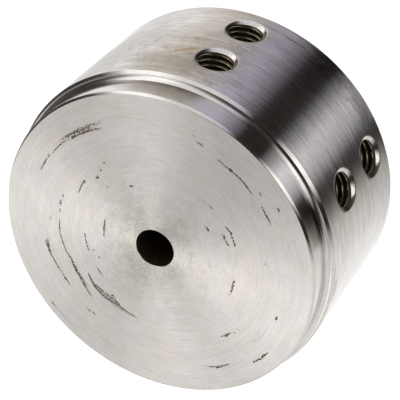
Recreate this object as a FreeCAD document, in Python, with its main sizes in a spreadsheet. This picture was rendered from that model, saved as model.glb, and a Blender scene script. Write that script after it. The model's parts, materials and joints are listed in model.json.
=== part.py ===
import FreeCAD, Part
import math
import os
import Sketcher

# Hub half of an elastic coupling, turned in one piece from a steel bar and supplied with
# a small pilot bore. It stands on its rear face, with the bore along +Z, and the origin is
# at the middle of the rear face. The front end carries a short raised land of smaller
# diameter. The flexible element's shoes seat on the outside diameter and are held by screws
# in the pairs of radial tapped holes, two rows of them, the first pair on +X.

# A sketch's own references: its origin point and vertical axis, and the places on a curve.
ORIGIN, V_AXIS = range(-1, -3, -1)
START, END, CENTRE = range(1, 4)

SIZES = (
    ("hub_diameter", 85.0, "outside diameter that the element's shoes seat on"),
    ("hub_length", 46.6, "rear face to front face"),
    ("land_step", 1.8, "how far the front land lies below the outside diameter"),
    ("land_length", 7.5, "front face to shoulder face"),
    ("front_chamfer", 0.5, "edge break at the front face"),
    ("shoulder_chamfer", 0.65, "chamfer between the shoulder face and the outside"),
    ("root_radius", 0.9, "fillet that the turning tool leaves between the land and the shoulder"),
    ("pilot_bore_diameter", 10.0, "bore as supplied, opened out to suit the shaft"),
    ("screw_diameter", 10.0, "nominal thread diameter of the element's screws"),
    ("screw_pitch", 1.5, "thread pitch of the element's screws"),
    ("screw_hole_depth", 15.0, "full diameter of the tapped hole, from the outside diameter"),
    ("drill_point_angle", 118.0, "included angle at the bottom of the tapped hole"),
    ("countersink_margin", 0.8, "countersink diameter over the thread diameter"),
    ("countersink_angle", 120.0, "included angle of the countersink"),
    ("rear_row_height", 9.2, "rear face to the rear row of tapped holes"),
    ("row_spacing", 16.9, "between the two rows of tapped holes"),
    ("screw_pair_count", 6, "pairs of tapped holes round the hub"),
)


def add_sizes(document):
    """Puts the driving dimensions in a sheet, one row each: value with its alias, then what it is."""
    sheet = document.addObject("Spreadsheet::Sheet", "Sizes")
    for row, (alias, value, meaning) in enumerate(SIZES, start=1):
        sheet.set("A%d" % row, str(value))
        sheet.setAlias("A%d" % row, alias)
        sheet.set("B%d" % row, meaning)
    document.recompute()
    return sheet


def origin_plane(body, role):
    """One of the body's own origin planes or axes, by its role."""
    for feature in body.Origin.OriginFeatures:
        if feature.Role == role:
            return feature
    raise ValueError("the body has no origin feature " + role)


def attach(sketch, plane, offset=None):
    """Lays a sketch on an origin plane, moved along its normal by an expression if one is given."""
    sketch.AttachmentSupport = [(plane, "")]
    sketch.MapMode = "FlatFace"
    if offset:
        sketch.setExpression("AttachmentOffset.Base.z", offset)


def bind(sketch, kind, name, expression, *references):
    """Adds a driving dimension to a sketch, at its value from the sheet, and ties it to the sheet."""
    value = float(sketch.evalExpression(expression))
    index = sketch.addConstraint(Sketcher.Constraint(kind, *references, value))
    sketch.renameConstraint(index, name)
    sketch.setExpression("Constraints." + name, expression)


def add_profile(body, sheet):
    """Half section of the turned blank, on the XZ plane, with the axis along the sketch's V axis."""
    outside = sheet.hub_diameter / 2
    land = outside - sheet.land_step
    length = sheet.hub_length
    shoulder = length - sheet.land_length
    root = sheet.root_radius
    corners = (
        (0, 0),
        (outside, 0),
        (outside, shoulder - sheet.shoulder_chamfer),
        (outside - sheet.shoulder_chamfer, shoulder),
        (land + root, shoulder),
        (land, shoulder + root),
        (land, length - sheet.front_chamfer),
        (land - sheet.front_chamfer, length),
        (0, length),
    )
    rear_face, outside_wall, shoulder_edge, shoulder_face, root_fillet = range(5)
    land_wall, front_edge, front_face, axis = range(5, 9)
    sketch = body.newObject("Sketcher::SketchObject", "HubProfile")
    attach(sketch, origin_plane(body, "XZ_Plane"))
    for number, (x, y) in enumerate(corners):
        next_x, next_y = corners[(number + 1) % len(corners)]
        if number == root_fillet:
            circle = Part.Circle(FreeCAD.Vector(x, next_y, 0), FreeCAD.Vector(0, 0, 1), root)
            sketch.addGeometry(Part.ArcOfCircle(circle, math.pi, 1.5 * math.pi))
        else:
            sketch.addGeometry(
                Part.LineSegment(FreeCAD.Vector(x, y, 0), FreeCAD.Vector(next_x, next_y, 0))
            )
    for number in range(len(corners)):
        following = (number + 1) % len(corners)
        # the arc is drawn anticlockwise, so it runs from the land back to the shoulder
        leaving = START if number == root_fillet else END
        entering = END if following == root_fillet else START
        kind = "Tangent" if root_fillet in (number, following) else "Coincident"
        sketch.addConstraint(Sketcher.Constraint(kind, number, leaving, following, entering))
    sketch.addConstraint(Sketcher.Constraint("Coincident", rear_face, START, ORIGIN, START))
    for line in (rear_face, shoulder_face, front_face):
        sketch.addConstraint(Sketcher.Constraint("Horizontal", line))
    for line in (outside_wall, land_wall, axis):
        sketch.addConstraint(Sketcher.Constraint("Vertical", line))

    origin = (ORIGIN, START)
    bind(sketch, "DistanceX", "outside_radius", "Sizes.hub_diameter / 2",
         *origin, outside_wall, START)
    bind(sketch, "DistanceX", "land_radius", "Sizes.hub_diameter / 2 - Sizes.land_step",
         *origin, land_wall, START)
    bind(sketch, "DistanceY", "overall_length", "Sizes.hub_length", *origin, front_face, END)
    bind(sketch, "DistanceY", "land_height", "Sizes.land_length",
         shoulder_face, START, front_face, END)
    bind(sketch, "Radius", "root", "Sizes.root_radius", root_fillet)
    bind(sketch, "DistanceX", "shoulder_edge_across", "Sizes.shoulder_chamfer",
         shoulder_edge, END, shoulder_edge, START)
    bind(sketch, "DistanceY", "shoulder_edge_up", "Sizes.shoulder_chamfer",
         shoulder_edge, START, shoulder_edge, END)
    bind(sketch, "DistanceX", "front_edge_across", "Sizes.front_chamfer",
         front_edge, END, front_edge, START)
    bind(sketch, "DistanceY", "front_edge_up", "Sizes.front_chamfer",
         front_edge, START, front_edge, END)
    return sketch


def add_blank(body, profile):
    """The solid that the lathe leaves: the profile turned about the bore's axis."""
    blank = body.newObject("PartDesign::Revolution", "TurnedBlank")
    blank.Profile = profile
    blank.ReferenceAxis = (profile, ["V_Axis"])
    blank.Angle = 360.0
    return blank


def add_pilot_bore(body):
    """The pilot bore, drilled right through from the front face, with sharp edges."""
    sketch = body.newObject("Sketcher::SketchObject", "PilotBoreCentre")
    attach(sketch, origin_plane(body, "XY_Plane"), "Sizes.hub_length")
    circle = sketch.addGeometry(
        Part.Circle(FreeCAD.Vector(0, 0, 0), FreeCAD.Vector(0, 0, 1), 1.0)
    )
    sketch.addConstraint(Sketcher.Constraint("Coincident", circle, CENTRE, ORIGIN, START))
    bind(sketch, "Diameter", "bore", "Sizes.pilot_bore_diameter", circle)
    body.Document.recompute()
    bore = body.newObject("PartDesign::Hole", "PilotBore")
    bore.Profile = sketch
    bore.DepthType = "ThroughAll"
    bore.setExpression("Diameter", "Sizes.pilot_bore_diameter")
    return bore


def add_screw_pair(body):
    """One pair of radial tapped holes on +X, one in each row, drilled in from the outside diameter.

    The wall is the tap drill's, thread diameter less pitch. The thread itself is a finish."""
    sketch = body.newObject("Sketcher::SketchObject", "ScrewPairCentres")
    attach(sketch, origin_plane(body, "YZ_Plane"), "Sizes.hub_diameter / 2")
    rows = (
        ("rear_row", "Sizes.rear_row_height"),
        ("front_row", "Sizes.rear_row_height + Sizes.row_spacing"),
    )
    for name, height in rows:
        circle = sketch.addGeometry(
            Part.Circle(FreeCAD.Vector(0, 1, 0), FreeCAD.Vector(0, 0, 1), 1.0)
        )
        sketch.addConstraint(Sketcher.Constraint("PointOnObject", circle, CENTRE, V_AXIS))
        bind(sketch, "DistanceY", name, height, ORIGIN, START, circle, CENTRE)
        bind(sketch, "Diameter", name + "_drill", "Sizes.screw_diameter - Sizes.screw_pitch",
             circle)
    body.Document.recompute()
    holes = body.newObject("PartDesign::Hole", "ScrewPair")
    holes.Profile = sketch
    holes.DepthType = "Dimension"
    holes.DrillPoint = "Angled"
    holes.HoleCutType = "Countersink"
    holes.HoleCutCustomValues = True
    holes.setExpression("Diameter", "Sizes.screw_diameter - Sizes.screw_pitch")
    holes.setExpression("Depth", "Sizes.screw_hole_depth")
    holes.setExpression("DrillPointAngle", "Sizes.drill_point_angle")
    holes.setExpression("HoleCutDiameter", "Sizes.screw_diameter + Sizes.countersink_margin")
    holes.setExpression("HoleCutCountersinkAngle", "Sizes.countersink_angle")
    return holes


def add_screw_pattern(body, holes):
    """The same pair, evenly spaced round the hub."""
    pattern = body.newObject("PartDesign::PolarPattern", "ScrewPairs")
    pattern.Originals = [holes]
    pattern.Axis = (origin_plane(body, "Z_Axis"), [""])
    pattern.Angle = 360.0
    pattern.setExpression("Occurrences", "Sizes.screw_pair_count")
    body.Tip = pattern
    return pattern


def check(document, body, steps):
    """Stops if a feature failed, or a cut took nothing away, before anything is written."""
    for item in document.Objects:
        if "Invalid" in item.State or "Error" in item.State:
            raise RuntimeError("%s failed: %s" % (item.Name, item.State))
        if item.isDerivedFrom("Sketcher::SketchObject") and not item.FullyConstrained:
            raise RuntimeError("%s is not fully constrained" % item.Name)
    for before, after in zip(steps, steps[1:]):
        if not after.Shape.Volume < before.Shape.Volume:
            raise RuntimeError("%s cuts nothing" % after.Name)
    if body.Shape.isNull() or not body.Shape.isValid() or len(body.Shape.Solids) != 1:
        raise RuntimeError("%s is not one valid solid" % body.Label)


def main():
    document = FreeCAD.newDocument("ElasticCouplingHub")
    sheet = add_sizes(document)
    body = document.addObject("PartDesign::Body", "CouplingHub")
    body.Label = "coupling_hub"
    body.Placement = FreeCAD.Placement()
    blank = add_blank(body, add_profile(body, sheet))
    document.recompute()
    bore = add_pilot_bore(body)
    document.recompute()
    pair = add_screw_pair(body)
    document.recompute()
    pattern = add_screw_pattern(body, pair)
    document.recompute()
    check(document, body, (blank, bore, pair, pattern))
    os.makedirs("parts", exist_ok=True)
    body.Shape.exportStep(os.path.join("parts", body.Label + ".step"))
    print("%s: %.1f cm3, faces %d" % (body.Label, body.Shape.Volume / 1000, len(body.Shape.Faces)))


main()
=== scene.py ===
# Looks of the elastic coupling's hub: the turned and tapped mesh, its steel finishes, the floor,
# the studio round it and the camera. Lengths are in metres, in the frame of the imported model.
import json
import math

import bmesh
import bpy
from bpy.props import FloatProperty, FloatVectorProperty, IntProperty, PointerProperty
from bpy.types import Operator, Panel, PropertyGroup
from mathutils import Matrix, Vector


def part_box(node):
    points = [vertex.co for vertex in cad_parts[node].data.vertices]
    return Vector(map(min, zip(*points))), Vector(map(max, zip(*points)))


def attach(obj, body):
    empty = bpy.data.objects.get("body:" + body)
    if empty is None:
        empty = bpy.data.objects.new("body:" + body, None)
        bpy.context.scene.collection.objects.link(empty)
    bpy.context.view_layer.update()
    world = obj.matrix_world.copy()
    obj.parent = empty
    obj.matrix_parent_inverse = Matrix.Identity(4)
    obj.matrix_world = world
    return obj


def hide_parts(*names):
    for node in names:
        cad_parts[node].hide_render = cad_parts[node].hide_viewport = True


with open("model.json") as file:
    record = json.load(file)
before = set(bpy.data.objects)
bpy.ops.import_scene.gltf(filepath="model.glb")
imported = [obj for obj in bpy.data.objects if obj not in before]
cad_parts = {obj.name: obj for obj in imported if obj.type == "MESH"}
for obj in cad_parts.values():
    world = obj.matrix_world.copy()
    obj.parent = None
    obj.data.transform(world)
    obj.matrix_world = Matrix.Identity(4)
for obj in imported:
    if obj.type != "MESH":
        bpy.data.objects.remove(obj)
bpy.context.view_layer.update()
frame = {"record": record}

bl_info = {
    "name": "Elastic coupling hub",
    "version": (1, 0, 0),
    "blender": (4, 5, 0),
    "location": "3D View > Sidebar > Coupling hub",
    "description": "Builds the turned steel hub of an elastic coupling and its studio",
    "category": "Add Mesh",
}

MM = 0.001
NODE = "coupling_hub"
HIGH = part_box(NODE)[1]
MOUNTS = {mount["name"]: mount for mount in frame["record"]["mounts"]}
SCREW_HOLES = [MOUNTS[name] for name in sorted(MOUNTS) if name.startswith("screw_hole_")]

# The finish of each surface, in the order of the mesh's material slots.
FINISHES = ("outside", "land", "root", "edge", "face", "bore", "countersink", "crest", "flank")


def length_property(name, description, millimetres):
    return FloatProperty(
        name=name, description=description, default=millimetres * MM, unit="LENGTH", precision=5)


def angle_property(name, description, degrees):
    return FloatProperty(
        name=name, description=description, default=math.radians(degrees), unit="ROTATION")


def colour_property(name, description, value):
    return FloatVectorProperty(
        name=name, description=description, subtype="COLOR", default=value, min=0.0, max=1.0)


class HubSizes(PropertyGroup):
    """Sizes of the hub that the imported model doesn't state."""

    land_step: length_property("Land step", "How far the land lies below the outside", 1.8)
    land_length: length_property("Land length", "Front face to shoulder face", 7.5)
    root_height: length_property(
        "Root height", "Height of the hollow between the land and the shoulder", 0.93)
    root_sweep: angle_property("Root sweep", "How far the hollow turns between its two edges", 66.0)
    shoulder_chamfer: length_property(
        "Shoulder chamfer", "Chamfer between the shoulder and the outside", 0.65)
    front_chamfer: length_property("Front chamfer", "Chamfer of the front face", 0.5)
    rear_break: length_property("Rear edge break", "Chamfer of the rear edge", 0.25)
    edge_round: length_property("Edge round", "Radius left on each turned edge", 0.1)
    countersink_radius: length_property(
        "Countersink radius", "Radius of the countersink at the outside", 5.4)
    countersink_angle: angle_property(
        "Countersink angle", "Included angle of the countersink", 120.0)
    thread_radius: length_property("Thread radius", "Radius at the thread's root", 5.0)
    thread_pitch: length_property("Thread pitch", "Advance of the thread in one turn", 1.5)
    thread_start: FloatProperty(
        name="Thread start", description="Where in its first turn the thread starts",
        default=0.35, min=0.0, max=1.0, subtype="FACTOR")
    thread_lead_in: length_property(
        "Thread lead-in", "Length over which the thread deepens below the cone", 0.9)
    thread_runout: length_property(
        "Thread runout", "Length over which the thread fades above the plain wall", 2.5)
    plain_wall: length_property(
        "Plain wall", "Length without thread at the bottom of the hole", 2.0)
    drill_angle: angle_property(
        "Drill point angle", "Included angle at the bottom of the hole", 118.0)
    columns: IntProperty(
        name="Columns", description="Faces round the hub, a multiple of the hole spacing",
        default=360, min=72)
    cell: IntProperty(
        name="Hole cell", description="Faces along each side of the square round a hole",
        default=18, min=8)


class HubFinish(PropertyGroup):
    """Colours of the steel, of what has marked it and of the shade painted on it."""

    steel: colour_property("Steel", "Bright turned steel", (0.668, 0.64, 0.612))
    film: colour_property("Film", "Steel under a thin cloudy film", (0.61, 0.585, 0.55))
    oil: colour_property("Oil", "Steel under dried oil", (0.39, 0.358, 0.315))
    stain: colour_property("Stain", "Olive stains in the dried oil", (0.33, 0.30, 0.19))
    # The grime colour also paints the shade near the rear face.
    grime_and_shade: colour_property("Grime", "Brown grey bloom on the walls", (0.23, 0.21, 0.19))
    rust: colour_property("Rust", "Rubbed and rusted steel", (0.34, 0.215, 0.125))
    # The scuff colour also paints shade on the land and in the bore.
    scuff_and_shade: colour_property("Scuff", "Dark middle of a rubbed mark", (0.055, 0.033, 0.02))
    # The oily colour is partly cutting oil and partly painted shade inside the holes and the bore.
    oil_and_hollow_shade: colour_property("Oily steel", "Tapped holes, dark with cutting oil", (0.13, 0.105, 0.06))
    crest: colour_property("Crest", "Crests of the thread", (0.42, 0.38, 0.28))


class HubStage(PropertyGroup):
    """The camera, the lamp and the floor."""

    camera_place: FloatVectorProperty(
        name="Camera place", description="Where the camera stands", subtype="TRANSLATION",
        unit="LENGTH", default=(0.21693, -0.10769, 0.31463), precision=5)
    camera_turn: FloatVectorProperty(
        name="Camera turn", description="The camera's rotation", subtype="EULER",
        default=(math.radians(-31.484), math.radians(25.392), math.radians(-81.349)))
    camera_lens: FloatProperty(
        name="Lens", description="Focal length in millimetres", default=137.09)
    floor_colour: colour_property("Floor", "Colour of the floor", (0.9, 0.9, 0.9))
    floor_glow: FloatProperty(
        name="Floor glow", description="White that the camera sees on top of the lit floor",
        default=0.75, min=0.0)
    key_power: FloatProperty(
        name="Key power", description="Power of the soft key lamp", default=0.037, unit="POWER")
    key_size: length_property("Key size", "Width of the soft key lamp", 160.0)
    key_distance: length_property("Key distance", "Distance of the lamp from the hub", 600.0)
    key_azimuth: angle_property(
        "Key azimuth", "Where the lamp stands, clockwise from the camera's side", 206.0)
    key_elevation: angle_property("Key elevation", "How high the lamp stands", 62.0)


def settings():
    return bpy.context.scene.coupling_hub


def outside_radius():
    return HIGH.x


# Mesh


class Shell:
    """Vertices, faces and the finish of each face, gathered for one mesh."""

    def __init__(self):
        self.points = []
        self.faces = []
        self.finishes = []

    def add_points(self, points):
        first = len(self.points)
        self.points.extend(points)
        return list(range(first, len(self.points)))

    def add_face(self, corners, finish):
        self.faces.append(corners)
        self.finishes.append(FINISHES.index(finish))

    def add_band(self, outer, inner, finish):
        """Faces between two closed rings that run anticlockwise seen from outside."""
        for i in range(len(outer)):
            j = (i + 1) % len(outer)
            self.add_face((outer[i], outer[j], inner[j], inner[i]), finish)


def turned_section(size):
    """The closed section as (radius, height) points, each with the finish of the side after it."""
    outside = outside_radius()
    length = HIGH.z
    bore = MOUNTS["pilot_bore"]["dims"]["r_mm"] * MM
    land = outside - size.land_step
    shoulder = length - size.land_length
    edge = size.edge_round
    lip = outside - size.shoulder_chamfer
    corners = [
        (bore, 0.0, edge, "face"),
        (outside - size.rear_break, 0.0, edge, "edge"),
        (outside, size.rear_break, edge, "outside"),
        (outside, shoulder - size.shoulder_chamfer, edge, "edge"),
        (lip, shoulder, 0.0, "root"),
    ]
    corners += hollow((lip, shoulder), (land, shoulder + size.root_height), size.root_sweep)
    corners += [
        (land, shoulder + size.root_height, 0.0, "land"),
        (land, length - size.front_chamfer, edge, "edge"),
        (land - size.front_chamfer, length, edge, "face"),
        (bore, length, edge, "bore"),
    ]
    section = []
    for i, (r, z, radius, finish) in enumerate(corners):
        here = Vector((r, z))
        if radius:
            before = Vector(corners[i - 1][:2])
            after = Vector(corners[(i + 1) % len(corners)][:2])
            section += rounded_corner(before, here, after, radius, finish)
        else:
            section.append((here, finish))
    return with_support(section, 1.5 * edge)


def hollow(start, end, sweep):
    """Points between the two ends of the arc that the tool's nose leaves below the land."""
    start, end = Vector(start), Vector(end)
    chord = end - start
    radius = chord.length / (2 * math.sin(sweep / 2))
    outwards = Vector((chord.y, -chord.x)).normalized()
    centre = (start + end) / 2 + outwards * radius * math.cos(sweep / 2)
    steps = 12
    points = []
    for step in range(1, steps):
        spoke = Matrix.Rotation(-sweep * step / steps, 2) @ (start - centre)
        points.append((*(centre + spoke), 0.0, "root"))
    return points


def rounded_corner(before, here, after, radius, finish):
    """An arc tangent to both sides of a corner; its last point carries the next side's finish."""
    arrive = (here - before).normalized()
    leave = (after - here).normalized()
    turn = math.atan2(arrive.x * leave.y - arrive.y * leave.x, arrive.dot(leave))
    start = here - arrive * radius * math.tan(abs(turn) / 2)
    side = Vector((-arrive.y, arrive.x)) * math.copysign(1.0, turn)
    centre = start + side * radius
    step_angle = math.radians(15.0)
    steps = max(2, round(abs(turn) / step_angle))
    points = []
    for step in range(steps + 1):
        spoke = Matrix.Rotation(turn * step / steps, 2) @ (start - centre)
        points.append((centre + spoke, finish if step == steps else "edge"))
    return points


def with_support(section, margin):
    """Adds a point close to both ends of each long side, which keeps its shading flat."""
    supported = []
    for i, (point, finish) in enumerate(section):
        after = section[(i + 1) % len(section)][0]
        supported.append((point, finish))
        side = after - point
        if side.length > 6 * margin:
            supported.append((point + side.normalized() * margin, finish))
            supported.append((after - side.normalized() * margin, finish))
    return supported


def hole_heights():
    return sorted({round(mount["pos_m"][2], 9) for mount in SCREW_HOLES})


def cell_half_size(size):
    """Half the width and half the height of the cell round a hole, which is a little taller."""
    half_width = outside_radius() * math.pi * size.cell / size.columns
    return half_width, 1.05 * half_width


def with_cell_rows(section, size):
    """Divides the outside wall at the rows of faces that the hole cells need."""
    half = cell_half_size(size)[1]
    rows = [
        height - half + 2 * half * step / size.cell
        for height in hole_heights() for step in range(size.cell + 1)
    ]
    divided = []
    for i, (point, finish) in enumerate(section):
        after = section[(i + 1) % len(section)][0]
        divided.append((point, finish))
        if finish == "outside" and after.y - point.y > half:
            divided += [(Vector((point.x, z)), finish) for z in rows]
    return divided


def hole_azimuth(mount):
    return math.atan2(mount["axis"][1], mount["axis"][0])


def lathe(shell, section, size):
    """Turns the section round the axis and leaves a square cell open round each hole.

    Returns the grid of vertices, and each hole's first row and middle column in it."""
    count = size.columns
    grid = []
    for point, _ in section:
        angles = (2 * math.pi * c / count for c in range(count))
        grid.append(shell.add_points(
            [Vector((point.x * math.cos(a), point.x * math.sin(a), point.y)) for a in angles]))
    cells = []
    open_faces = set()
    for mount in SCREW_HOLES:
        low = mount["pos_m"][2] - cell_half_size(size)[1]
        tolerance = 0.01 * MM
        row = next(
            i for i, (point, finish) in enumerate(section)
            if finish == "outside" and abs(point.y - low) < tolerance)
        column = round(hole_azimuth(mount) / (2 * math.pi) * count) % count
        cells.append((mount, row, column))
        first = column - size.cell // 2
        open_faces |= {
            (row + i, (first + j) % count) for i in range(size.cell) for j in range(size.cell)}
    for k, (point, finish) in enumerate(section):
        above = (k + 1) % len(section)
        for c in range(count):
            if (k, c) not in open_faces:
                d = (c + 1) % count
                shell.add_face((grid[k][c], grid[k][d], grid[above][d], grid[above][c]), finish)
    return grid, cells


def cell_edge(grid, row, column, size):
    """The cell's corners and sides, anticlockwise seen from outside, from its lower right."""
    half = size.cell // 2
    count = size.columns
    places = [(row + i, column + half) for i in range(size.cell)]
    places += [(row + size.cell, column + half - i) for i in range(size.cell)]
    places += [(row + size.cell - i, column - half) for i in range(size.cell)]
    places += [(row, column - half + i) for i in range(size.cell)]
    return [grid[r][c % count] for r, c in places]


class TappedHole:
    """The shape of one tapped hole, with its axis along X and its mouth at the outside radius."""

    def __init__(self, size, mount):
        self.size = size
        self.outside = outside_radius()
        self.drill = mount["dims"]["r_mm"] * MM
        middle = math.hypot(mount["pos_m"][0], mount["pos_m"][1])
        self.depth = self.outside - middle + mount["dims"]["length_mm"] * MM / 2
        self.end = self.depth - size.plain_wall
        self.slope = math.tan(size.countersink_angle / 2)
        self.cone_end = (size.countersink_radius - self.drill) / self.slope
        self.spokes = 4 * size.cell
        flank_angle = math.radians(30.0)
        flank = (size.thread_radius - self.drill) * math.tan(flank_angle)
        root = size.thread_pitch / 8
        crest = size.thread_pitch - root - 2 * flank
        broken = 0.05 * MM
        slip = broken * math.tan(flank_angle)
        # one turn of the thread: distance along it, radius and the finish that follows
        self.turn = (
            (0.0, size.thread_radius, "flank"),
            (root, size.thread_radius, "flank"),
            (root + flank - slip, self.drill + broken, "crest"),
            (root + flank + slip, self.drill, "crest"),
            (root + flank + crest - slip, self.drill, "crest"),
            (root + flank + crest + slip, self.drill + broken, "flank"),
        )
        self.start = (size.thread_start - 1.0) * size.thread_pitch

    def angle(self, spoke):
        """Direction of a spoke from the hub's tangent to its axis; the first is at a corner."""
        return 2 * math.pi * (spoke / self.spokes - 0.125)

    def cone(self, depth):
        return self.size.countersink_radius - self.slope * depth

    def thread(self, depth, spoke):
        pitch = self.size.thread_pitch
        place = (depth + pitch * spoke / self.spokes - self.start) % pitch
        marks = [row[:2] for row in self.turn] + [(pitch, self.size.thread_radius)]
        for (s0, r0), (s1, r1) in zip(marks, marks[1:]):
            if place <= s1:
                radius = r0 + (r1 - r0) * (place - s0) / (s1 - s0)
                return min(radius, self.runout(depth))
        return self.drill

    def runout(self, depth):
        """Largest radius of the thread, which fades to the drill's at both of its ends."""
        fade = min(
            (depth - self.cone_end) / self.size.thread_lead_in,
            (self.end - depth) / self.size.thread_runout, 1.0)
        return self.drill + (self.size.thread_radius - self.drill) * max(fade, 0.0)

    def wall(self, depth, spoke):
        return max(self.cone(depth), self.thread(depth, spoke))

    def sag(self, radius, spoke):
        """How deep the hub's outside lies at this distance from the hole's axis."""
        across = radius * math.cos(self.angle(spoke))
        return self.outside - math.sqrt(self.outside ** 2 - across ** 2)

    def mouth(self, spoke):
        """Depth at which the hole's wall leaves the outside."""
        step = 0.005 * MM
        depth = 0.0
        while depth < self.sag(self.wall(depth, spoke), spoke):
            depth += step
        return depth

    def inside_point(self, depth, radius, spoke):
        angle = self.angle(spoke)
        return Vector((
            self.outside - depth, radius * math.cos(angle), radius * math.sin(angle)))

    def outside_point(self, along, up):
        """A point on the hub's outside, by its arc length and height from the hole's axis."""
        turn = along / self.outside
        return Vector((self.outside * math.cos(turn), self.outside * math.sin(turn), up))


def tapped_rings(hole):
    """Rings of points from the outside to the hole's bottom, at azimuth and height zero.

    Returns the rings on the outside, as (along, up), then the first ring inside, the helical
    rows with their finishes, the ring at the bottom and the drill's point."""
    size = hole.size
    spokes = range(hole.spokes)
    lip = 0.08 * MM
    mouths = [hole.mouth(j) for j in spokes]
    rim = []
    for j in spokes:
        radius = hole.wall(mouths[j], j)
        along = hole.outside * math.asin(radius * math.cos(hole.angle(j)) / hole.outside)
        rim.append(Vector((along, radius * math.sin(hole.angle(j)))))
    half = Vector(cell_half_size(size))
    square = []
    for j in spokes:
        side, step = divmod(j, size.cell)
        reach = 2 * step / size.cell - 1
        corner = ((1, reach), (-reach, 1), (-1, -reach), (reach, -1))[side]
        square.append(Vector((half.x * corner[0], half.y * corner[1])))
    outside_rings = [
        [square[j].lerp(rim[j], share) for j in spokes] for share in (0.45, 0.8)]
    outside_rings.append([rim[j] + rim[j].normalized() * lip for j in spokes])
    inner = [mouths[j] + 0.7 * lip for j in spokes]
    inside_ring = [hole.inside_point(inner[j], hole.wall(inner[j], j), j) for j in spokes]
    top = [max(hole.cone_end, inner[j]) for j in spokes]
    pitch = size.thread_pitch
    turns = math.ceil((hole.end + pitch - hole.start) / pitch) + 1
    rows = []
    for m in range(turns * len(hole.turn) + 1):
        place, radius, finish = hole.turn[m % len(hole.turn)]
        begin = hole.start + pitch * (m // len(hole.turn)) + place
        row = []
        for j in spokes:
            depth = begin - pitch * j / hole.spokes
            if depth <= top[j]:
                row.append(hole.inside_point(top[j], hole.wall(top[j], j), j))
            elif depth >= hole.end:
                row.append(hole.inside_point(hole.end, hole.drill, j))
            else:
                row.append(hole.inside_point(depth, min(radius, hole.runout(depth)), j))
        rows.append((row, finish))
    bottom = [hole.inside_point(hole.depth, hole.drill, j) for j in spokes]
    tip = Vector((
        hole.outside - hole.depth - hole.drill / math.tan(size.drill_angle / 2), 0.0, 0.0))
    return outside_rings, inside_ring, rows, bottom, tip


def tap_hole(shell, hole, rings, edge, mount):
    """Fills one cell with the surface from its edge down to the bottom of the tapped hole."""
    outside_rings, inside_ring, rows, bottom, tip = rings
    place = Matrix.Translation((0.0, 0.0, mount["pos_m"][2])) @ Matrix.Rotation(
        hole_azimuth(mount), 4, "Z")

    def put(points):
        return shell.add_points([place @ point for point in points])

    last = edge
    for ring in outside_rings:
        ring = put([hole.outside_point(*point) for point in ring])
        shell.add_band(last, ring, "outside")
        last = ring
    inside = put(inside_ring)
    shell.add_band(last, inside, "countersink")
    grid = [put(row) for row, _ in rows]
    shell.add_band(inside, grid[0], "countersink")
    per_turn = len(hole.turn)
    for m in range(len(grid) - 1):
        finish = rows[m][1]
        for j in range(hole.spokes - 1):
            shell.add_face(
                (grid[m][j], grid[m][j + 1], grid[m + 1][j + 1], grid[m + 1][j]), finish)
        # a turn further on, the row before the seam meets the row one pitch up
        above = grid[max(m - per_turn, 0)][0]
        below = grid[max(m + 1 - per_turn, 0)][0]
        shell.add_face((grid[m][-1], above, below, grid[m + 1][-1]), finish)
    end = put(bottom)
    shell.add_band(grid[-1], end, "flank")
    point = put([tip])[0]
    for j in range(hole.spokes):
        shell.add_face((end[j], end[(j + 1) % hole.spokes], point), "flank")


def mesh_from_shell(shell, name):
    """Makes the mesh, joins the points that coincide and marks the sharp edges."""
    mesh = bpy.data.meshes.new(name)
    mesh.from_pydata(shell.points, [], shell.faces)
    mesh.polygons.foreach_set("material_index", shell.finishes)
    surface = bmesh.new()
    surface.from_mesh(mesh)
    bmesh.ops.remove_doubles(surface, verts=surface.verts, dist=0.001 * MM)
    surface.to_mesh(mesh)
    surface.free()
    mesh.polygons.foreach_set("use_smooth", [True] * len(mesh.polygons))
    mesh.set_sharp_from_angle(angle=math.radians(25.0))
    return mesh


# Materials


def add_node(tree, kind, values=None, **attributes):
    """Adds a node, sets its attributes, and sets or links its inputs by name or number."""
    item = tree.nodes.new(kind)
    for name, value in attributes.items():
        setattr(item, name, value)
    for key, value in (values or {}).items():
        if isinstance(value, bpy.types.NodeSocket):
            tree.links.new(value, item.inputs[key])
        else:
            item.inputs[key].default_value = value
    return item


def calculate(tree, operation, *values):
    """One Math node on sockets or numbers; returns its output."""
    return add_node(
        tree, "ShaderNodeMath", dict(enumerate(values)), operation=operation).outputs[0]


def multiply(tree, first, second):
    return calculate(tree, "MULTIPLY", first, second)


def subtract(tree, first, second):
    return calculate(tree, "SUBTRACT", first, second)


def scale_add(tree, value, factor, offset):
    return calculate(tree, "MULTIPLY_ADD", value, factor, offset)


def smooth_range(tree, value, start, end, low=0.0, high=1.0):
    return add_node(
        tree, "ShaderNodeMapRange",
        {"Value": value, "From Min": start, "From Max": end, "To Min": low, "To Max": high},
        interpolation_type="SMOOTHSTEP").outputs["Result"]


def spread(tree, value):
    """Spreads a noise, which seldom leaves the middle of its range, over 0 to 1."""
    return add_node(
        tree, "ShaderNodeMapRange", {"Value": value, "From Min": 0.3, "From Max": 0.7}).outputs[0]


def noise(tree, size, detail=2.0, roughness=0.5):
    """Noise in object space, from 0 to 1, with features of a size in millimetres."""
    place = tree.nodes.new("ShaderNodeTexCoord").outputs["Object"]
    value = add_node(
        tree, "ShaderNodeTexNoise",
        {"Vector": place, "Scale": 1 / (size * MM), "Detail": detail, "Roughness": roughness}
    ).outputs["Fac"]
    return spread(tree, value)


def around_one(tree, value, amount):
    """Turns a value of 0 to 1 into a factor about one."""
    return linear_range(tree, value, 1.0 - amount / 2, 1.0 + amount / 2)


def linear_range(tree, value, low, high):
    return add_node(
        tree, "ShaderNodeMapRange", {"Value": value, "To Min": low, "To Max": high}).outputs[0]


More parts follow.
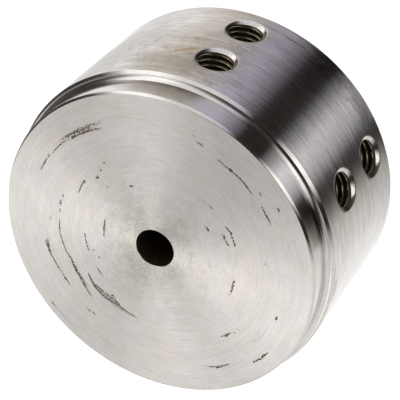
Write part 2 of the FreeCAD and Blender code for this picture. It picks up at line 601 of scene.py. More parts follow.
def mix_colour(tree, factor, first, second, blend="MIX"):
    mix = tree.nodes.new("ShaderNodeMix")
    mix.data_type = "RGBA"
    mix.blend_type = blend
    for socket, value in zip((mix.inputs[0], mix.inputs[6], mix.inputs[7]), (factor, first, second)):
        if isinstance(value, bpy.types.NodeSocket):
            tree.links.new(value, socket)
        elif socket.type == "RGBA":
            socket.default_value = (*value[:3], 1.0)
        else:
            socket.default_value = value
    return mix.outputs[2]


def tinted(tree, colour, tint):
    """A colour times a tint or a shade."""
    return mix_colour(tree, 1.0, colour, tint, "MULTIPLY")


def new_group(name, inputs, outputs):
    """A shader node group; inputs is {name: default}, outputs a list of names."""
    tree = bpy.data.node_groups.new(name, "ShaderNodeTree")
    for key, default in inputs.items():
        socket = tree.interface.new_socket(key, in_out="INPUT", socket_type="NodeSocketFloat")
        socket.default_value = default
    for key in outputs:
        tree.interface.new_socket(key, in_out="OUTPUT", socket_type="NodeSocketFloat")
    entry = tree.nodes.new("NodeGroupInput")
    leave = tree.nodes.new("NodeGroupOutput")
    return tree, entry.outputs, leave.inputs


def use_group(tree, group, **values):
    """Places a group; the inputs are named with _ for each space."""
    item = tree.nodes.new("ShaderNodeGroup")
    item.node_tree = group
    for key, value in values.items():
        socket = item.inputs[key.replace("_", " ")]
        if isinstance(value, bpy.types.NodeSocket):
            tree.links.new(value, socket)
        else:
            socket.default_value = value
    return item.outputs


def make_place_group():
    """Where a point lies on the turned hub: radius and height in millimetres, azimuth in radians."""
    tree, _, leave = new_group("Turned place", {}, ["Radius", "Height", "Azimuth"])
    coordinates = tree.nodes.new("ShaderNodeTexCoord").outputs["Object"]
    parts = add_node(tree, "ShaderNodeSeparateXYZ", {0: coordinates}).outputs
    squares = calculate(
        tree, "ADD", calculate(tree, "POWER", parts["X"], 2.0),
        calculate(tree, "POWER", parts["Y"], 2.0))
    radius = multiply(tree, calculate(tree, "SQRT", squares), 1 / MM)
    tree.links.new(radius, leave["Radius"])
    tree.links.new(multiply(tree, parts["Z"], 1 / MM), leave["Height"])
    tree.links.new(calculate(tree, "ARCTAN2", parts["Y"], parts["X"]), leave["Azimuth"])
    return tree


def make_turning_group():
    """Tool lines along the turning, each of them uneven in depth, as a height and a shade."""
    tree, entry, leave = new_group(
        "Turning lines",
        {"Across": 0.0, "Azimuth": 0.0, "Spacing": 0.3, "Breaks": 6.0, "Seed": 0.0},
        ["Height", "Shade"])
    across = calculate(tree, "DIVIDE", entry["Across"], entry["Spacing"])
    across = calculate(tree, "ADD", across, entry["Seed"])
    around = [
        multiply(tree, calculate(tree, wave, entry["Azimuth"]), entry["Breaks"])
        for wave in ("COSINE", "SINE")
    ]
    place = add_node(
        tree, "ShaderNodeCombineXYZ", {"X": across, "Y": around[0], "Z": around[1]}).outputs[0]
    fine = add_node(
        tree, "ShaderNodeTexNoise",
        {"Vector": place, "Scale": 1.0, "Detail": 2.0, "Roughness": 0.6}).outputs["Fac"]
    stretch = add_node(tree, "ShaderNodeMapping", {"Vector": place, "Scale": (0.22, 0.4, 0.4)})
    wide = add_node(
        tree, "ShaderNodeTexNoise",
        {"Vector": stretch.outputs[0], "Scale": 1.0, "Detail": 2.0}).outputs["Fac"]
    height = subtract(tree, fine, 0.5)
    shade = scale_add(tree, subtract(tree, wide, 0.5), 0.5, height)
    tree.links.new(height, leave["Height"])
    tree.links.new(shade, leave["Shade"])
    return tree


def make_mark_group():
    """One mark, long along the turning and broken up by grain, as a mask."""
    tree, entry, leave = new_group(
        "Mark",
        {"Across": 0.0, "Azimuth": 0.0, "Grain": 0.5, "Mark across": 0.0, "Mark azimuth": 0.0,
         "Half width": 0.4, "Half sweep": 0.1, "Drift": 0.0, "Strength": 1.0, "Ragged": 1.5,
         "Soft": 0.3, "Below": 0.0},
        ["Mask"])
    turn = subtract(tree, entry["Azimuth"], entry["Mark azimuth"])
    turn = calculate(tree, "WRAP", turn, math.pi, -math.pi)
    middle = scale_add(tree, turn, entry["Drift"], entry["Mark across"])
    off = subtract(tree, entry["Across"], middle)
    off = calculate(tree, "DIVIDE", off, entry["Half width"])
    along = calculate(tree, "DIVIDE", turn, entry["Half sweep"])
    far = calculate(
        tree, "SQRT", calculate(
            tree, "ADD", multiply(tree, off, off),
            calculate(tree, "POWER", calculate(tree, "ABSOLUTE", along), 4.0)))
    broken = subtract(tree, entry["Grain"], 0.5)
    far = scale_add(tree, broken, entry["Ragged"], far)
    inside = subtract(tree, 1.0, entry["Soft"])
    mask = smooth_range(tree, far, 1.0, inside)
    mask = multiply(tree, mask, entry["Strength"])
    tree.links.new(calculate(tree, "MAXIMUM", mask, entry["Below"]), leave["Mask"])
    return tree


# Rubbed marks on the front face: share of the outside radius, start and end azimuth in degrees,
# half width in millimetres, drift outwards in millimetres for a radian of azimuth, strength and
# how ragged they are.
FACE_MARKS = (
    # upper left
    (0.791, 35, 53, 0.26, 0.8, 0.8, 2.2),
    (0.764, 33, 51, 0.21, 1.4, 0.9, 1.5),
    (0.769, 47, 49.3, 0.45, 0.0, 1.0, 1.8),
    (0.779, 51, 63, 0.15, 0.0, 0.8, 1.2),
    (0.786, 64, 66.3, 0.25, 0.0, 0.6, 1.5),
    (0.786, 66, 74, 0.17, -1.0, 0.85, 1.4),
    (0.565, 40.4, 41.6, 0.2, 0.0, 0.8, 0.9),
    (0.534, 45.2, 46.8, 0.23, 0.0, 0.9, 1.2),
    (0.509, 50.8, 53.2, 0.33, 0.0, 1.0, 1.2),
    (0.542, 60.9, 63.2, 0.28, 0.0, 1.0, 1.2),
    (0.537, 62, 72, 0.15, -3.0, 0.85, 1.2),
    (0.432, 49, 51, 0.17, 0.0, 0.5, 1.2),
    (0.394, 27.4, 30.6, 0.3, 0.0, 1.0, 1.0),
    (0.669, 96, 98, 0.17, 0.0, 0.5, 1.2),
    # the long arc on the left
    (0.609, 78.5, 81.5, 0.16, 0.0, 0.75, 1.2),
    (0.612, 83.5, 86.5, 0.28, 0.0, 0.75, 2.1),
    (0.609, 89, 91.5, 0.16, 0.0, 0.75, 1.2),
    (0.611, 96, 105, 0.17, 1.0, 0.9, 1.4),
    (0.607, 104, 118, 0.17, -2.2, 0.95, 0.9),
    (0.595, 116, 122, 0.17, -7.0, 0.95, 1.3),
    (0.593, 119.5, 128, 0.17, 3.0, 0.95, 1.0),
    (0.597, 127, 133, 0.2, 0.0, 0.95, 1.2),
    (0.605, 132, 145, 0.2, 3.7, 0.95, 1.4),
    (0.586, 118, 140, 0.16, 0.0, 0.95, 1.2),
    # the arc outside it
    (0.723, 110, 118, 0.15, -1.5, 0.85, 1.4),
    (0.711, 108.5, 117, 0.15, 1.0, 0.85, 1.4),
    (0.708, 117.5, 128, 0.18, -3.3, 0.95, 1.2),
    (0.699, 129.7, 132.3, 0.28, 0.0, 1.0, 1.2),
    (0.698, 127, 136.5, 0.15, -0.4, 0.85, 1.2),
    # inside it, and the short marks below
    (0.324, 79, 90, 0.18, -1.9, 0.95, 1.2),
    (0.322, 87, 92, 0.3, 0.0, 1.0, 1.5),
    (0.322, 89, 101, 0.17, 0.4, 0.9, 1.4),
    (0.447, 101.5, 104.5, 0.28, 0.0, 1.0, 1.2),
    (0.446, 104, 117, 0.16, -0.4, 0.85, 1.2),
    (0.412, 115, 117, 0.18, 0.0, 0.8, 1.0),
    (0.393, 122, 124, 0.18, 0.0, 0.75, 1.0),
    (0.444, 130.5, 138.5, 0.16, 0.7, 0.85, 1.2),
    (0.9, 138, 140, 0.23, 0.0, 0.65, 1.2),
    (0.897, 139, 151, 0.15, -0.9, 0.35, 1.4),
    (0.712, 149, 151.5, 0.16, -4.0, 0.85, 1.0),
    (0.703, 152, 154, 0.16, -4.0, 0.85, 1.0),
    # the rubbed band on the lower left
    (0.532, 132.5, 139.5, 0.23, 5.5, 1.0, 1.0),
    (0.54, 137, 143.5, 0.32, 4.9, 1.0, 1.4),
    (0.545, 141.5, 150, 0.22, 0.7, 0.95, 1.4),
    (0.54, 148, 157, 0.23, -4.2, 0.95, 1.4),
    (0.528, 155, 163, 0.21, -4.9, 0.95, 1.2),
    (0.524, 161, 169.5, 0.2, 1.2, 0.95, 1.0),
    (0.527, 167, 175.5, 0.17, 1.2, 0.95, 0.8),
    (0.523, 141, 150.5, 0.17, -4.2, 0.9, 1.2),
    (0.513, 149, 157, 0.17, -1.5, 0.9, 1.6),
    (0.517, 156, 164, 0.17, 3.0, 0.85, 1.6),
    (0.493, 152.7, 155.3, 0.25, 0.0, 0.95, 1.4),
    (0.505, 154, 162, 0.15, 6.7, 0.75, 1.5),
    # upper right
    (0.813, -10, -8, 0.16, 0.0, 0.5, 1.4),
    (0.786, -13.8, -10.2, 0.17, 3.0, 0.8, 1.2),
    (0.768, -26, -21, 0.15, 3.2, 0.85, 0.9),
    (0.768, -29, -25, 0.23, -2.4, 0.95, 1.2),
    (0.77, -29.1, -26.9, 0.33, 0.0, 1.0, 1.2),
    (0.773, -34, -29, 0.18, -2.5, 0.95, 1.0),
    (0.774, -38, -32.5, 0.23, 1.2, 1.0, 1.0),
    (0.771, -41, -37, 0.16, 1.5, 0.9, 1.0),
    (0.816, -42.8, -41.2, 0.21, 0.0, 0.75, 1.0),
    (0.861, -51, -49, 0.27, 0.0, 1.0, 1.0),
    (0.493, -30.8, -29.2, 0.16, 0.0, 0.45, 0.9),
    (0.499, -37, -33.5, 0.15, -1.6, 0.65, 1.0),
    (0.775, -54.5, -46.5, 0.18, 0.0, 0.95, 1.0),
    (0.775, -52.5, -49.5, 0.23, 0.0, 1.0, 1.0),
    (0.39, -50, -46.3, 0.3, 0.0, 1.0, 1.0),
    (0.386, -47, -43, 0.15, 0.0, 0.6, 1.2),
    (0.51, -55, -50, 0.2, -7.0, 0.95, 1.0),
    (0.517, -56, -54, 0.3, 0.0, 1.0, 1.2),
    (0.512, -64, -56, 0.18, 0.0, 0.95, 1.2),
    (0.512, -64.2, -62.4, 0.22, 0.0, 0.95, 1.0),
    (0.465, -59.5, -54.5, 0.23, 0.0, 0.95, 1.4),
    (0.469, -64, -59, 0.18, -3.5, 0.9, 1.2),
    # lower right
    (0.492, -100.5, -89.5, 0.27, -0.6, 1.0, 1.7),
    (0.676, -74.7, -73.3, 0.17, 0.0, 0.55, 1.0),
    (0.785, -101, -99, 0.28, 0.0, 1.0, 1.2),
    (0.759, -117.5, -116.5, 0.16, 0.0, 0.5, 1.0),
    (0.638, -128.5, -125.7, 0.33, 0.0, 1.0, 1.2),
    (0.636, -131, -123.5, 0.15, 3.0, 0.85, 1.2),
    (0.652, -122.6, -121.4, 0.17, 0.0, 0.75, 0.9),
    (0.654, -119.6, -118.4, 0.17, 0.0, 0.75, 0.9),
    (0.855, -125.5, -121, 0.25, 2.0, 1.0, 1.5),
    (0.859, -123, -117, 0.23, 0.0, 0.95, 1.5),
    (0.855, -121, -118.5, 0.23, 0.0, 0.85, 1.8),
    (0.797, -147, -141.5, 0.17, 7.0, 0.95, 1.2),
    (0.804, -143.5, -140, 0.3, 0.0, 1.0, 1.4),
    (0.803, -141, -136, 0.2, 1.0, 0.95, 1.4),
)

# Rubbed places between and beside those marks, crossed by short scratches, in the same form.
FACE_RUBS = (
    (0.778, 36, 50.5, 0.7, 0.8, 0.95, 1.6),
    (0.594, 121, 141, 0.45, 1.2, 0.95, 1.2),
    (0.717, 108.5, 118, 0.28, -0.5, 0.85, 1.2),
    (0.53, 139, 163, 0.65, -1.5, 0.95, 1.6),
    (0.54, 152, 172, 0.5, -3.0, 0.5, 1.4),
)

# Marks on the outside: height from the rear face in millimetres, then as above, with the drift
# towards the front face.
OUTSIDE_MARKS = (
    (3.9, -20, -11, 0.3, 4.0, 0.7, 2.2),
    (3.6, -14, -9, 0.2, -3.0, 0.5, 2.2),
    (18.6, 7, 14, 1.2, 0.0, 0.35, 1.8),
    (25.3, 6, 21, 2.6, 6.0, 0.32, 1.8),
    (38.4, -96, -80, 0.3, 0.0, 0.9, 3.0),
    (37.0, -93, -84, 0.8, 0.0, 0.6, 3.4),
)

# Wide soft patches on the walls: azimuths in degrees, heights in millimetres, strength, how
# ragged and how soft they are, and their drift towards the front face, as above.
PATCHES = {
    "dried oil": ((-14, 66), (7.0, 44.0), 0.45, 0.7, 0.55, 0.0),
    "oil pool": ((-5, 33), (20.0, 45.5), 1.0, 1.0, 0.95, 0.0),
    "blotches": ((-10, 44), (11.0, 43.0), 0.55, 0.7, 0.7, 0.0),
    "streak": ((5, 22), (25.4, 27.8), 0.8, 1.2, 0.8, 29.0),
    # rear is painted shade: the outside darker towards the rear face on one side
    "rear": ((-52, -24), (-9.0, 9.0), 0.65, 1.4, 0.8, 0.0),
    "land film": ((-9, 28), (33.0, 51.0), 1.0, 0.15, 0.95, 0.0),
    # land root and land end are painted shade, the shoulder's dark reflection in the land
    "land root": ((-8, 21), (34.6, 43.6), 0.5, 0.3, 0.8, 0.0),
    "land end": ((-70, -51), (35.0, 48.0), 0.75, 0.15, 0.8, 0.0),
}


def tool_lines(tree, groups, place, across, spacing, breaks, seed):
    """Tool lines a spacing apart in millimetres, along Radius or Height."""
    return use_group(
        tree, groups["turning"], Across=place[across], Azimuth=place["Azimuth"],
        Spacing=spacing, Breaks=breaks, Seed=seed)


def place_marks(tree, groups, place, across, marks, unit, grain):
    """Chains a Mark group for each mark; returns the mask of them all."""
    mask = 0.0
    for share, start, end, half_width, drift, strength, ragged in marks:
        mask = use_group(
            tree, groups["mark"], Across=place[across], Azimuth=place["Azimuth"], Grain=grain,
            Mark_across=share * unit, Mark_azimuth=math.radians((start + end) / 2),
            Half_width=half_width, Half_sweep=math.radians(end - start) / 2, Drift=drift,
            Strength=strength, Ragged=ragged, Below=mask)["Mask"]
    return mask


def patch(tree, groups, place, grain, name):
    """The mask of one of the wide soft patches."""
    azimuths, heights, strength, ragged, soft, drift = PATCHES[name]
    return use_group(
        tree, groups["mark"], Across=place["Height"], Azimuth=place["Azimuth"], Grain=grain,
        Mark_across=sum(heights) / 2, Mark_azimuth=math.radians(sum(azimuths) / 2),
        Half_width=(heights[1] - heights[0]) / 2,
        Half_sweep=math.radians(azimuths[1] - azimuths[0]) / 2, Drift=drift, Strength=strength,
        Ragged=ragged, Soft=soft, Below=0.0)["Mask"]


def finish_steel(tree, colour, roughness, metallic=1.0, height=None, bump=0.0, anisotropic=0.0):
    """Adds the shader and the output; turned finishes take their tangent round Z."""
    quarter_turn = 0.25
    values = {"Base Color": colour, "Roughness": roughness, "Metallic": metallic,
              "Anisotropic": anisotropic, "Anisotropic Rotation": quarter_turn}
    if anisotropic:
        values["Tangent"] = add_node(
            tree, "ShaderNodeTangent", direction_type="RADIAL", axis="Z").outputs[0]
    if height is not None:
        values["Normal"] = add_node(
            tree, "ShaderNodeBump", {"Height": height, "Distance": bump, "Strength": 1.0}
        ).outputs["Normal"]
    shader = add_node(tree, "ShaderNodeBsdfPrincipled", values)
    add_node(tree, "ShaderNodeOutputMaterial", {"Surface": shader.outputs[0]})


def new_material(name):
    material = bpy.data.materials.new(name)
    material.use_nodes = True
    material.node_tree.nodes.clear()
    return material, material.node_tree


def add_dirt(tree, colour, marks, grain):
    """Brown dirt where the marks are, almost black in its grainy middle."""
    finish = settings().finish
    colour = mix_colour(tree, linear_range(tree, marks, 0.0, 0.9), colour, finish.rust)
    core = smooth_range(tree, grain, 0.0, 0.7)
    core = multiply(tree, smooth_range(tree, marks, 0.35, 0.8), core)
    return mix_colour(tree, core, colour, finish.scuff_and_shade)


def rung_grain(tree, place):
    """Noise drawn out across the turning, for scratches that cross a rubbed band."""
    length, width = 1.2, 0.5
    arc = multiply(tree, place["Azimuth"], place["Radius"])
    across = calculate(tree, "DIVIDE", place["Radius"], length)
    arc = calculate(tree, "DIVIDE", arc, width)
    spot = add_node(tree, "ShaderNodeCombineXYZ", {"X": across, "Y": arc}).outputs[0]
    value = add_node(
        tree, "ShaderNodeTexNoise", {"Vector": spot, "Scale": 1.0, "Detail": 1.0}).outputs["Fac"]
    return spread(tree, value)


def face_material(groups):
    """The faced ends: concentric tool lines, a cloudy film, scuffs and rust, and painted shade
    towards +X.
    """
    finish = settings().finish
    material, tree = new_material("faced_steel")
    place = use_group(tree, groups["place"])
    lines = tool_lines(tree, groups, place, "Radius", spacing=0.3, breaks=5.0, seed=3.0)
    grain = noise(tree, 0.35, 3.0, 0.7)
    speckle = noise(tree, 0.3, 2.0, 0.7)
    cloud = noise(tree, 5.0, 4.0, 0.6)
    warmth = noise(tree, 9.0, 3.0, 0.6)
    rungs = rung_grain(tree, place)
    # the rear face has no marks
    front = smooth_range(tree, place["Height"], HIGH.z / MM - 1.0, HIGH.z / MM - 0.5)
    uneven = linear_range(tree, grain, -0.4, 1.4)
    radius = outside_radius() / MM
    marks, rubs = (
        multiply(tree, place_marks(tree, groups, place, "Radius", rows, radius, kind), front)
        for rows, kind in ((FACE_MARKS, uneven), (FACE_RUBS, rungs)))
    rubs = multiply(tree, rubs, smooth_range(tree, rungs, 0.4, 0.8, 0.15, 0.95))
    colour = mix_colour(tree, cloud, finish.steel, finish.film)
    warmth = mix_colour(tree, warmth, (1.015, 0.985, 0.96), (0.985, 1.0, 1.02))
    colour = tinted(tree, colour, warmth)
    shade = scale_add(tree, lines["Shade"], 0.5, 1.0)
    shade = multiply(tree, shade, around_one(tree, speckle, 0.18))
    # painted shade: the face is painted a little darker towards +X
    side = multiply(tree, calculate(tree, "COSINE", place["Azimuth"]), place["Radius"])
    shade = multiply(tree, shade, smooth_range(tree, side, -35.0, 42.0, 1.07, 0.88))
    colour = tinted(tree, colour, shade)
    # blotches and fine pits, denser towards the bore
    bore_edge = 6.0
    for size, reach, strength, tint in (
        (2.5, 24.0, 0.35, finish.oil), (0.35, 16.0, 0.6, finish.stain),
    ):
        near_bore = smooth_range(tree, place["Radius"], reach, bore_edge, 0.0, strength)
        blotch = smooth_range(tree, noise(tree, size, 4.0, 0.7), 0.4, 0.85)
        colour = mix_colour(tree, multiply(tree, near_bore, blotch), colour, tint)
    colour = add_dirt(tree, colour, rubs, rungs)
    colour = add_dirt(tree, colour, marks, speckle)
    marks = calculate(tree, "MAXIMUM", marks, rubs)
    roughness = scale_add(tree, lines["Shade"], 0.12, 0.36)
    roughness = scale_add(tree, marks, 0.3, roughness)
    metallic = scale_add(tree, marks, -0.25, 1.0)
    finish_steel(
        tree, colour, roughness, metallic, lines["Height"], bump=0.012 * MM, anisotropic=0.85)
    return material


def turned_wall(tree, groups, spacing, breaks, seed, contrast, level, speckles):
    """Tool lines round a wall; returns its place, lines, speckle and colour."""
    place = use_group(tree, groups["place"])
    lines = tool_lines(tree, groups, place, "Height", spacing, breaks, seed)
    speckle = noise(tree, 0.35, 2.0, 0.7)
    shade = scale_add(tree, lines["Shade"], contrast, level)
    shade = multiply(tree, shade, around_one(tree, speckle, speckles))
    return place, lines, speckle, tinted(tree, settings().finish.steel, shade)


def outside_material(groups):
    """The turned outside: tool lines round it, a film of dried oil on one side and painted shade
    near the rear face.
    """
    finish = settings().finish
    material, tree = new_material("turned_outside")
    place, lines, speckle, colour = turned_wall(
        tree, groups, spacing=0.25, breaks=7.0, seed=11.0, contrast=1.1, level=1.0, speckles=0.16)
    cloud = noise(tree, 6.0, 4.0, 0.65)
    film = patch(tree, groups, place, cloud, "dried oil")
    smears = tool_lines(tree, groups, place, "Height", spacing=2.4, breaks=5.0, seed=5.0)
    smears = scale_add(tree, smears["Height"], 1.5, 0.5)
    pool = patch(tree, groups, place, smears, "oil pool")
    film = calculate(tree, "MAXIMUM", film, pool)
    colour = mix_colour(tree, film, colour, finish.oil)
    spots = multiply(tree, film, smooth_range(tree, smears, 0.6, 0.9, 0.0, 0.7))
    colour = mix_colour(tree, spots, colour, finish.stain)
    blotch = smooth_range(tree, noise(tree, 2.2, 5.0, 0.75), 0.45, 0.9)
    dirty = patch(tree, groups, place, cloud, "blotches")
    colour = mix_colour(tree, multiply(tree, dirty, blotch), colour, finish.grime_and_shade)
    streak = patch(tree, groups, place, cloud, "streak")
    colour = mix_colour(tree, streak, colour, finish.stain)
    # painted shade: darker towards the rear face on one side
    rear = patch(tree, groups, place, cloud, "rear")
    colour = mix_colour(tree, rear, colour, finish.grime_and_shade)
    marks = place_marks(tree, groups, place, "Height", OUTSIDE_MARKS, 1.0, speckle)
    colour = add_dirt(tree, colour, marks, speckle)
    rough = scale_add(tree, lines["Shade"], 0.06, 0.19)
    rough = scale_add(tree, film, 0.12, rough)
    finish_steel(
        tree, colour, rough, height=lines["Height"], bump=0.009 * MM, anisotropic=0.6)
    return material


def land_material(groups):
    """The front land, finer than the outside, with a bloom and two dark patches of painted shade
    where it mirrors the shoulder.
    """
    finish = settings().finish
    material, tree = new_material("turned_land")
    place, lines, _, colour = turned_wall(
        tree, groups, spacing=0.35, breaks=6.0, seed=23.0, contrast=0.3, level=0.95, speckles=0.06)
    cloud = noise(tree, 4.0, 3.0, 0.6)
    film = patch(tree, groups, place, cloud, "land film")
    colour = mix_colour(tree, film, colour, finish.grime_and_shade)
    # painted shade near the root, where the land mirrors the shoulder
    root = patch(tree, groups, place, cloud, "land root")
    colour = mix_colour(tree, root, colour, finish.scuff_and_shade)
    # painted shade at one end round the land, where it mirrors the shoulder
    dark = patch(tree, groups, place, cloud, "land end")
    colour = mix_colour(tree, dark, colour, finish.scuff_and_shade)
    rough = scale_add(tree, lines["Shade"], 0.06, 0.11)
    rough = scale_add(tree, root, 0.15, rough)
    finish_steel(tree, colour, rough, height=lines["Height"], bump=0.01 * MM, anisotropic=0.6)
    return material


def countersink_material(groups):
    """The countersinks: bright on their sides, dark brown at both ends round the hub."""
    finish = settings().finish
    material, tree = new_material("countersink_steel")
    place = use_group(tree, groups["place"])
    pitch = math.pi / 3
    turn = calculate(tree, "WRAP", place["Azimuth"], pitch / 2, -pitch / 2)
    along = multiply(tree, turn, outside_radius() / MM)
    grain = noise(tree, 0.5, 3.0, 0.7)
    blur = multiply(tree, subtract(tree, grain, 0.5), 0.9)
    lower = smooth_range(tree, subtract(tree, blur, along), 3.0, 3.9, 0.0, 0.95)
    upper = smooth_range(tree, calculate(tree, "ADD", blur, along), 3.1, 4.2, 0.0, 0.9)
    # only the holes near azimuth zero are darker at both ends
    near = calculate(tree, "LESS_THAN", calculate(tree, "ABSOLUTE", place["Azimuth"]), pitch / 2)
    darkening = calculate(tree, "MAXIMUM", lower, multiply(tree, upper, near))
    shade = around_one(tree, grain, 0.5)
    colour = tinted(tree, finish.steel, shade)
    colour = mix_colour(tree, darkening, colour, finish.scuff_and_shade)
    finish_steel(tree, colour, linear_range(tree, darkening, 0.15, 0.35))
    return material


def plain_material(name, colour, roughness, contrast, anisotropic=0.0):
    """A small cut surface with a little unevenness."""
    material, tree = new_material(name)
    grain = noise(tree, 1.2, 3.0, 0.6)
    colour = tinted(tree, colour, around_one(tree, grain, contrast))
    rough = linear_range(tree, grain, roughness * 1.2, roughness * 0.85)
    finish_steel(tree, colour, rough, anisotropic=anisotropic)
    return material


def bore_material():
    """The bore as drilled, dull, dark with oil and painted darker still as the shade inside it."""
    finish = settings().finish
    material, tree = new_material("bore_steel")
    colour = mix_colour(tree, noise(tree, 0.8, 3.0, 0.6), finish.oil_and_hollow_shade, finish.scuff_and_shade)
    finish_steel(tree, colour, roughness=0.5, metallic=0.8)
    return material


def hub_materials():
    """The materials, in the order of FINISHES."""
    finish = settings().finish
    groups = {
        "place": make_place_group(),
        "turning": make_turning_group(),
        "mark": make_mark_group(),
    }
    return (
        outside_material(groups),
        land_material(groups),
        plain_material("root_steel", finish.steel, 0.12, contrast=0.1, anisotropic=0.3),
        plain_material("cut_edges", finish.steel, 0.09, contrast=0.1, anisotropic=0.3),
        face_material(groups),
        bore_material(),
        countersink_material(groups),
        plain_material("thread_crests", finish.crest, 0.2, contrast=0.7),
        # the flanks' dark colour is partly oil and partly painted shade inside the holes
        plain_material("thread_flanks", finish.oil_and_hollow_shade, 0.38, contrast=0.6),
    )


class HUB_OT_build(Operator):
    """Builds the turned hub with its tapped holes and gives it its finishes"""

    bl_idname = "coupling_hub.build"
    bl_label = "Build hub"

    def execute(self, context):
        size = settings().size
        shell = Shell()
        section = with_cell_rows(turned_section(size), size)
        grid, cells = lathe(shell, section, size)
        hole = TappedHole(size, SCREW_HOLES[0])
        rings = tapped_rings(hole)
        for mount, row, column in cells:
            tap_hole(shell, hole, rings, cell_edge(grid, row, column, size), mount)
        piece = bpy.data.objects.new("coupling_hub_turned", mesh_from_shell(shell, "hub_surface"))
        context.scene.collection.objects.link(piece)
        for material in hub_materials():
            piece.data.materials.append(material)
        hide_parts(NODE)
        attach(piece, "root")
        triangles = sum(len(face.vertices) - 2 for face in piece.data.polygons)
        self.report({"INFO"}, "hub of %d triangles" % triangles)
        return {"FINISHED"}


# Stage

PLAIN = (1.0, 1.0, 1.0)
WARM = (1.06, 1.0, 0.94)
BROWN = (1.1, 0.97, 0.92)
LILAC = (0.97, 0.92, 1.12)
COOL = (0.99, 0.98, 1.05)

# What the steel mirrors, by azimuth from the camera's side in degrees, going clockwise seen from
# above: brightness, and tint unless plain. The walls mirror what lies below the horizon, the
# chamfers what stands above it, and the faces what hangs overhead.
LOW_BANDS = (
    (-180, 1.3), (-162, 1.4), (-150, 1.0), (-138, 0.92), (-120, 1.12), (-100, 1.42),
    (-80, 1.2, WARM), (-62, 0.95, WARM), (-50, 0.8), (-40, 0.72, LILAC), (-30, 0.7, LILAC),
    (-20, 0.42, LILAC), (-8, 0.03, BROWN), (11, 0.03, BROWN), (20, 0.5, COOL), (30, 1.12, COOL),
    (40, 0.85, COOL), (48, 0.48, COOL), (54, 0.04, BROWN), (63, 0.04, BROWN), (72, 0.18, BROWN),
    (84, 0.72, WARM), (100, 0.92), (120, 1.08), (145, 1.12), (180, 1.3),
)
SIDE_BANDS = (
    (-180, 1.2), (-172, 1.45), (-160, 1.3), (-150, 0.9), (-142, 0.6), (-134, 0.12, BROWN),
    (-106, 0.05, BROWN), (-95, 0.1, BROWN), (-88, 0.6), (-81, 1.4), (-66, 1.5), (-52, 0.95),
    (-32, 0.9), (-18, 0.7, LILAC), (-8, 0.03, BROWN), (9, 0.03, BROWN), (16, 0.7), (27, 1.6),
    (40, 1.2), (47, 0.35), (52, 0.02, BROWN), (64, 0.03, BROWN), (71, 0.45), (79, 0.9),
    (130, 1.0), (150, 0.75), (168, 0.8), (180, 1.2),
)
HIGH_BANDS = (
    (-180, 1.5), (-167, 1.5), (-158, 0.35), (-108, 0.2), (-97, 1.2), (-80, 1.9), (-60, 1.1),
    (-40, 0.25), (-20, 0.08), (0, 0.04), (20, 0.08), (40, 0.14), (60, 0.06), (74, 0.1),
    (88, 0.55), (112, 0.8), (132, 1.3), (150, 1.7), (165, 1.6), (180, 1.5),
)
TOP_BANDS = (
    (-180, 0.35), (-152, 0.4), (-144, 1.1), (-95, 1.0), (-60, 0.5), (-40, 0.2), (0, 0.08),
    (74, 0.08), (90, 0.3), (112, 0.5), (128, 0.65), (150, 0.55), (165, 0.3), (180, 0.4),
)


def band_ramp(tree, factor, bands):
    """A colour ramp over a whole turn of azimuth, with the camera's side in its middle."""
    ramp = add_node(tree, "ShaderNodeValToRGB", {0: factor})
    stops = ramp.color_ramp.elements
    while len(stops) < len(bands):
        stops.new(0.5)
    for stop, band in zip(stops, bands):
        azimuth, level, tint = (*band, PLAIN)[:3]
        stop.position = azimuth / 360.0 + 0.5
        stop.color = (*(level * part for part in tint), 1.0)
    return ramp.outputs["Color"]


def camera_azimuth():
    place = settings().stage.camera_place
    return math.atan2(place[1], place[0])


def make_world():
    """A pale studio with upright dark gaps, mirrored by the steel. The camera sees plain white."""
    world = bpy.data.worlds.new("studio")
    bpy.context.scene.world = world
    world.use_nodes = True
    tree = world.node_tree
    tree.nodes.clear()
    direction = tree.nodes.new("ShaderNodeTexCoord").outputs["Generated"]
    parts = add_node(tree, "ShaderNodeSeparateXYZ", {0: direction}).outputs
    azimuth = calculate(tree, "ARCTAN2", parts["Y"], parts["X"])
    turn = subtract(tree, camera_azimuth(), azimuth)
    turn = scale_add(tree, turn, 0.5 / math.pi, 0.5)
    factor = calculate(tree, "FRACT", turn)
    surround = band_ramp(tree, factor, LOW_BANDS)
    # each ring of bands takes over as the direction's height passes from start to end
    for bands, start, end in (
        (SIDE_BANDS, -0.6, -0.4), (HIGH_BANDS, 0.64, 0.74), (TOP_BANDS, 0.82, 0.87),
    ):
        reached = smooth_range(tree, parts["Z"], start, end)
        surround = mix_colour(tree, reached, surround, band_ramp(tree, factor, bands))
    for start, end, level in ((-0.795, -0.86, 0.25), (0.915, 0.96, 0.1)):
        pole = smooth_range(tree, parts["Z"], start, end, 1.0, level)
        surround = tinted(tree, surround, pole)
    seen = tree.nodes.new("ShaderNodeLightPath").outputs["Is Camera Ray"]
    colour = mix_colour(tree, seen, surround, PLAIN)
    background = add_node(tree, "ShaderNodeBackground", {"Color": colour, "Strength": 1.0})
    add_node(tree, "ShaderNodeOutputWorld", {"Surface": background.outputs[0]})


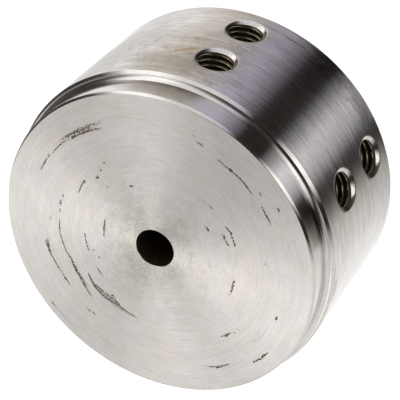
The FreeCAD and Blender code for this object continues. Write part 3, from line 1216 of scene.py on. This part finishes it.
def floor_material():
    """Pale matt floor that the camera sees as white, with the hub's soft shadow on it."""
    stage = settings().stage
    material, tree = new_material("studio_floor")
    paint = add_node(
        tree, "ShaderNodeBsdfDiffuse", {"Color": (*stage.floor_colour, 1.0)}).outputs[0]
    rays = tree.nodes.new("ShaderNodeLightPath").outputs
    seen = calculate(tree, "MAXIMUM", rays["Is Camera Ray"], rays["Is Glossy Ray"])
    seen = calculate(tree, "MAXIMUM", seen, rays["Is Transmission Ray"])
    strength = multiply(tree, seen, stage.floor_glow)
    glow = add_node(
        tree, "ShaderNodeEmission", {"Color": (1.0, 1.0, 1.0, 1.0), "Strength": strength}).outputs[0]
    both = add_node(tree, "ShaderNodeAddShader", {0: paint, 1: glow}).outputs[0]
    add_node(tree, "ShaderNodeOutputMaterial", {"Surface": both})
    return material


def make_floor():
    reach = 3.0
    mesh = bpy.data.meshes.new("floor")
    corners = [(-reach, -reach, 0.0), (reach, -reach, 0.0), (reach, reach, 0.0),
               (-reach, reach, 0.0)]
    mesh.from_pydata(corners, [], [(0, 1, 2, 3)])
    floor = bpy.data.objects.new("studio_floor", mesh)
    bpy.context.scene.collection.objects.link(floor)
    floor.data.materials.append(floor_material())
    # the steel mirrors the studio below the horizon too, so its bands run the hub's full height
    floor.visible_glossy = False


def aim(item, target):
    item.rotation_euler = (target - item.location).to_track_quat("-Z", "Y").to_euler()


def make_lamp():
    """A soft key lamp behind and above the hub, mirrored in its front face."""
    stage = settings().stage
    lamp = bpy.data.lights.new("key_lamp", "AREA")
    lamp.shape = "DISK"
    lamp.size = stage.key_size
    lamp.energy = stage.key_power
    item = bpy.data.objects.new("key_lamp", lamp)
    bpy.context.scene.collection.objects.link(item)
    azimuth = camera_azimuth() - stage.key_azimuth
    level = math.cos(stage.key_elevation)
    direction = Vector((
        level * math.cos(azimuth), level * math.sin(azimuth), math.sin(stage.key_elevation)))
    middle = Vector((0.0, 0.0, HIGH.z))
    item.location = middle + direction * stage.key_distance
    aim(item, middle)


def make_camera():
    stage = settings().stage
    camera = bpy.data.cameras.new("camera")
    camera.lens = stage.camera_lens
    item = bpy.data.objects.new("camera", camera)
    item.location = stage.camera_place
    item.rotation_euler = stage.camera_turn
    bpy.context.scene.collection.objects.link(item)
    bpy.context.scene.camera = item


class HUB_OT_stage(Operator):
    """Sets up the camera, the studio, the lamp and the floor"""

    bl_idname = "coupling_hub.stage"
    bl_label = "Set the stage"

    def execute(self, context):
        make_camera()
        make_world()
        make_floor()
        make_lamp()
        context.scene.view_settings.view_transform = "Standard"
        return {"FINISHED"}


class HubSettings(PropertyGroup):
    """Everything that the panel shows."""

    size: PointerProperty(type=HubSizes, name="Sizes", description="Sizes of the hub")
    finish: PointerProperty(type=HubFinish, name="Finish", description="Colours of the hub")
    stage: PointerProperty(type=HubStage, name="Stage", description="Camera, lamp and floor")


class HUB_PT_panel(Panel):
    """Panel of the coupling hub in the sidebar"""

    bl_idname = "HUB_PT_panel"
    bl_label = "Coupling hub"
    bl_space_type = "VIEW_3D"
    bl_region_type = "UI"
    bl_category = "Coupling hub"

    def draw(self, context):
        hub = context.scene.coupling_hub
        for group, operator in (
            (hub.stage, HUB_OT_stage), (hub.size, HUB_OT_build), (hub.finish, None),
        ):
            box = self.layout.box()
            for name in group.bl_rna.properties.keys():
                if name not in ("rna_type", "name"):
                    box.prop(group, name)
            if operator:
                box.operator(operator.bl_idname)


CLASSES = (HubSizes, HubFinish, HubStage, HubSettings, HUB_OT_stage, HUB_OT_build, HUB_PT_panel)


def register():
    for item in CLASSES:
        bpy.utils.register_class(item)
    bpy.types.Scene.coupling_hub = PointerProperty(type=HubSettings)


def unregister():
    del bpy.types.Scene.coupling_hub
    for item in reversed(CLASSES):
        bpy.utils.unregister_class(item)


def main():
    register()
    bpy.ops.coupling_hub.stage()
    bpy.ops.coupling_hub.build()


if __name__ == "__main__":
    main()
